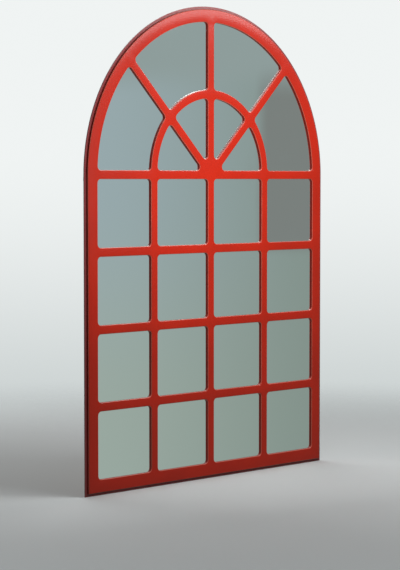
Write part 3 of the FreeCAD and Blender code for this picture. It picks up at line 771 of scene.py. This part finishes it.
def screw_mesh(sizes, seat_to_tip):
    """A pan-head screw along Y: its head stands towards +Y on a seat at the origin, its tip points to -Y."""
    head, rise = sizes.head_width / 2, sizes.head_height
    shank = sizes.shank_width / 2
    profile = [(head * out, rise * up) for out, up in HEAD_OUTLINE]
    profile += [(shank, 0.0), (shank, shank * POINT_LENGTH - seat_to_tip), (0.0, -seat_to_tip)]
    mesh = bmesh.new()
    chain = [mesh.verts.new((radius, height, 0.0)) for radius, height in profile]
    edges = [mesh.edges.new(pair) for pair in zip(chain, chain[1:])]
    way_round = {"cent": (0, 0, 0), "axis": (0, 1, 0), "angle": math.tau, "steps": SCREW_STEPS}
    bmesh.ops.spin(mesh, geom=chain + edges, use_merge=True, **way_round)
    bmesh.ops.remove_doubles(mesh, verts=mesh.verts, dist=WELD)
    bmesh.ops.recalc_face_normals(mesh, faces=mesh.faces)
    return mesh


def recess_mesh(sizes):
    """The cross recess: two slots that narrow towards their floor."""
    mesh = bmesh.new()
    deep = sizes.head_height - sizes.cross_depth
    high = sizes.head_height + sizes.cross_depth
    for across, along in ((sizes.cross_width, sizes.cross_length), (sizes.cross_length, sizes.cross_width)):
        for vertex in bmesh.ops.create_cube(mesh, size=1.0)["verts"]:
            height, share = (deep, RECESS_TAPER) if vertex.co.y < 0 else (high, 1.0)
            vertex.co = Vector((vertex.co.x * across * share, height, vertex.co.z * along * share))
    return mesh


def pattern_screw(sizes, seat_to_tip):
    """The one screw that the others are copies of."""
    screw = new_object("screw_pattern", screw_mesh(sizes, seat_to_tip))
    cutter = new_object("screw_cutter", recess_mesh(sizes))
    cut = screw.modifiers.new("cross", "BOOLEAN")
    cut.object = cutter
    cut.operation = "DIFFERENCE"
    cut.use_self = True
    settle(screw)
    bpy.data.objects.remove(cutter)
    for polygon in screw.data.polygons:
        polygon.use_smooth = True
    screw.data.set_sharp_from_angle(angle=CREASE)
    return screw


def screw_tree():
    """Sets a copy of one screw at every point, each driven to a turn of its own."""
    inputs = {"Geometry": "Geometry", "Screw": "Object", "Seed": "Int", "Finish": "Material"}
    tree, given = new_group("driven_screws", inputs)
    screw = add(tree, "GeometryNodeObjectInfo", {"Object": given["Screw"]}).outputs["Geometry"]
    turn = add(tree, "FunctionNodeRandomValue", {"Seed": given["Seed"]}, data_type="FLOAT_VECTOR")
    turn.inputs["Min"].default_value = (0.0, 0.0, 0.0)
    turn.inputs["Max"].default_value = (0.0, math.tau, 0.0)
    sockets = {"Points": given["Geometry"], "Instance": screw, "Rotation": turn.outputs["Value"]}
    spread = add(tree, "GeometryNodeInstanceOnPoints", sockets).outputs["Instances"]
    close_group(tree, spread, given["Finish"])
    return tree


def drive_screws(name, node, seats, sizes, finish):
    """Make one set of screws on their seats, which lie at the height of the node's heads."""
    low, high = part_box(node)
    seat = high.y - sizes.head_height
    pattern = pattern_screw(sizes, seat - low.y)
    points = bmesh.new()
    for x, z in seats:
        points.verts.new((x, seat, z))
    screws = new_object(name, points)
    grow(screws, screw_tree(), {"Screw": pattern, "Seed": sizes.turn_seed, "Finish": finish})
    bpy.data.objects.remove(pattern)
    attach(screws, "frame")
    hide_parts(node)


def joint_spots(ending):
    """Where the joints are whose names have this ending."""
    return [Vector(joint["pos_m"]) for joint in frame["joints"] if joint["name"].endswith(ending)]


# Stage


def lay_floor(settings):
    """A pale round floor under the mirror that fades out into the backdrop."""
    fade_starts = 0.4
    fade_ends = 0.95
    disc = bmesh.new()
    bmesh.ops.create_circle(disc, cap_ends=True, segments=FLOOR_STEPS, radius=settings.floor_radius)
    bmesh.ops.translate(disc, verts=disc.verts, vec=(0.0, 0.0, FOOT_HEIGHT))
    floor = new_object("floor", disc)
    floor.visible_glossy = False
    material, tree, shader = new_material("pale_floor", Roughness=0.9, Specular_IOR_Level=0.1)
    seen = Figure(tree, add(tree, "ShaderNodeLightPath").outputs["Is Camera Ray"])
    tone = mix(seen, settings.floor_bounce, settings.floor_tone)
    from_middle = add(tree, "ShaderNodeVectorMath", {0: place(tree)}, operation="LENGTH")
    reach = Figure(tree, from_middle.outputs["Value"])
    fade = (settings.floor_radius * fade_starts, settings.floor_radius * fade_ends)
    dress(tree, shader, Base_Color=tone, Alpha=remap(reach, fade, (1.0, 0.0)))
    floor.data.materials.append(material)


def hang_backdrop(scene, settings):
    """A pale surrounding for the camera, a quiet room for the glass and even light for the rest."""
    backdrop_rise = (-0.2, 0.02)
    low_rise = (-0.13, 0.0)
    high_rise = (0.042, 0.062)
    ceiling_rise = (0.1, 0.7)
    shade_side = (0.0165, 0.0245)
    shade_rise = (-0.042, -0.032)
    room_to_backdrop = (-0.35, 0.1)
    world = bpy.data.worlds.new("studio")
    world.use_nodes = True
    scene.world = world
    tree = world.node_tree
    toward = add(tree, "ShaderNodeTexCoord").outputs["Generated"]
    _, depth, height = split(tree, toward)
    # The backdrop darkens from high to low: painted shade, as on a wall lit from above
    backdrop = mix(remap(height, backdrop_rise), settings.backdrop_low, settings.backdrop_high)

    across = Vector((math.cos(settings.room_turn), math.sin(settings.room_turn), 0.0))
    along = add(tree, "ShaderNodeVectorMath", {0: toward, 1: across}, operation="DOT_PRODUCT")
    drift = Figure(tree, along.outputs["Value"])
    half_spread = math.sin(settings.room_spread / 2)
    room = mix(remap(height, low_rise), settings.room_low, settings.room_light)
    room = mix(remap(drift, (-half_spread, half_spread)), room, settings.room_dark)
    room = mix(remap(drift, shade_side) * remap(height, shade_rise), room, settings.room_shade)
    room = mix(remap(height, high_rise), room, settings.room_high)
    room = mix(remap(height, ceiling_rise), room, settings.ceiling)
    shown = mix(remap(depth, room_to_backdrop), room, backdrop)

    rays = add(tree, "ShaderNodeLightPath").outputs
    even = [settings.ambient] * 3
    lit = mix(Figure(tree, rays["Is Glossy Ray"]), even, shown)
    clear = maths(tree, "MAXIMUM", rays["Is Camera Ray"], rays["Is Transmission Ray"])
    feed(tree, tree.nodes["Background"].inputs["Color"], mix(clear, lit, backdrop))


def add_lamp(name, where, aim, size, watts):
    """A soft rectangular lamp that the camera doesn't see."""
    data = bpy.data.lights.new(name, "AREA")
    data.shape = "RECTANGLE"
    data.size, data.size_y = size
    data.energy = watts
    lamp = bpy.data.objects.new(name, data)
    lamp.location = where
    lamp.rotation_euler = (Vector(aim) - Vector(where)).to_track_quat("-Z", "Y").to_euler()
    lamp.visible_camera = False
    bpy.context.scene.collection.objects.link(lamp)
    return lamp


def set_lamps(settings):
    """Lamps at the front right, close to the fan, above the front and behind."""
    middle = (CAD_BOX[0] + CAD_BOX[1]) / 2
    add_lamp("key", settings.key_spot, middle, settings.key_size, settings.key_power)
    wash = add_lamp("wash", settings.wash_spot, settings.wash_aim, settings.wash_size, settings.wash_power)
    wash.visible_glossy = False
    add_lamp("top", settings.top_spot, middle, settings.top_size, settings.top_power)
    add_lamp("back_fill", settings.back_spot, middle, settings.back_size, settings.back_power)


def set_camera(scene, settings):
    """A camera at the photograph's angle."""
    turn, lift = settings.azimuth, settings.elevation
    back = Vector((math.sin(turn) * math.cos(lift), -math.cos(turn) * math.cos(lift), math.sin(lift)))
    data = bpy.data.cameras.new("camera")
    data.lens = settings.lens
    camera = bpy.data.objects.new("camera", data)
    camera.location = Vector(settings.aim) + back * settings.distance
    camera.rotation_euler = (-back).to_track_quat("-Z", "Y").to_euler()
    scene.collection.objects.link(camera)
    scene.camera = camera


# Operators


class WINDOWMIRROR_OT_cut_lattice(bpy.types.Operator):
    """Cut the lattice and spray it red"""
    bl_idname = "window_mirror.cut_lattice"
    bl_label = "Cut Lattice"

    def execute(self, context):
        settings = settings_of(context)
        paint = settings.lacquer
        red = lacquer("red_lacquer", paint.red, paint.red_edge_highlight, paint.red_wall_shade, paint)
        cut_lattice(settings.lattice, red)
        return {"FINISHED"}


class WINDOWMIRROR_OT_finish_rim(bpy.types.Operator):
    """Spray the rim's battens maroon"""
    bl_idname = "window_mirror.finish_rim"
    bl_label = "Finish Rim"

    def execute(self, context):
        paint = settings_of(context).lacquer
        maroon = lacquer("maroon_lacquer", paint.maroon, paint.maroon_edge_highlight, paint.maroon_wall, paint)
        give_finish(maroon, "rim_")
        return {"FINISHED"}


class WINDOWMIRROR_OT_silver_panes(bpy.types.Operator):
    """Silver the mirror panes"""
    bl_idname = "window_mirror.silver_panes"
    bl_label = "Silver Panes"

    def execute(self, context):
        give_finish(silvered_glass(settings_of(context).glass), "pane_")
        return {"FINISHED"}


class WINDOWMIRROR_OT_finish_back(bpy.types.Operator):
    """Finish the back board and the wall pads"""
    bl_idname = "window_mirror.finish_back"
    bl_label = "Finish Back"

    def execute(self, context):
        settings = settings_of(context).back
        give_finish(hardboard(settings), "back_board")
        give_finish(rubber(settings), "pad_")
        return {"FINISHED"}


class WINDOWMIRROR_OT_fit_hardware(bpy.types.Operator):
    """Plate the turn buttons, hangers and rings, and drive their screws"""
    bl_idname = "window_mirror.fit_hardware"
    bl_label = "Fit Hardware"

    def execute(self, context):
        sizes = settings_of(context).hardware
        plating = zinc_plate(sizes)
        give_finish(plating, "button_", "hanger_", "ring_")
        seats = [(pivot.x, pivot.z) for pivot in joint_spots("_button_turn")]
        drive_screws("screws_of_buttons", "button_screws", seats, sizes, plating)
        drops = (sizes.near_drop, sizes.far_drop)
        seats = [(eye.x, eye.z - drop) for eye in joint_spots("_ring_swing") for drop in drops]
        drive_screws("screws_of_hangers", "hanger_screws", seats, sizes, plating)
        return {"FINISHED"}


class WINDOWMIRROR_OT_set_stage(bpy.types.Operator):
    """Set the floor, the backdrop, the lamps and the camera"""
    bl_idname = "window_mirror.set_stage"
    bl_label = "Set Stage"

    def execute(self, context):
        settings = settings_of(context).stage
        context.scene.view_settings.view_transform = "Standard"
        lay_floor(settings)
        hang_backdrop(context.scene, settings)
        set_lamps(settings)
        set_camera(context.scene, settings)
        return {"FINISHED"}


# Panel and registration


class WINDOWMIRROR_PT_steps(bpy.types.Panel):
    """The steps that finish the mirror"""
    bl_idname = "WINDOWMIRROR_PT_steps"
    bl_label = "Window Mirror"
    bl_space_type = "VIEW_3D"
    bl_region_type = "UI"
    bl_category = "Window Mirror"

    def draw(self, context):
        for step in STEPS:
            self.layout.operator(step.bl_idname)
        settings = settings_of(context)
        for name in MirrorSettings.__annotations__:
            box = self.layout.box()
            group = getattr(settings, name)
            for field in group.__annotations__:
                box.prop(group, field)


GROUPS = (
    LatticeSettings,
    LacquerSettings,
    GlassSettings,
    BackSettings,
    HardwareSettings,
    StageSettings,
    MirrorSettings,
)
STEPS = (
    WINDOWMIRROR_OT_cut_lattice,
    WINDOWMIRROR_OT_finish_rim,
    WINDOWMIRROR_OT_silver_panes,
    WINDOWMIRROR_OT_finish_back,
    WINDOWMIRROR_OT_fit_hardware,
    WINDOWMIRROR_OT_set_stage,
)
CLASSES = (*GROUPS, *STEPS, WINDOWMIRROR_PT_steps)


def register():
    for item in CLASSES:
        bpy.utils.register_class(item)
    bpy.types.Scene.window_mirror = PointerProperty(type=MirrorSettings)


def unregister():
    del bpy.types.Scene.window_mirror
    for item in reversed(CLASSES):
        bpy.utils.unregister_class(item)


def main():
    register()
    bpy.ops.window_mirror.cut_lattice()
    bpy.ops.window_mirror.finish_rim()
    bpy.ops.window_mirror.silver_panes()
    bpy.ops.window_mirror.finish_back()
    bpy.ops.window_mirror.fit_hardware()
    bpy.ops.window_mirror.set_stage()


if __name__ == "__main__":
    main()
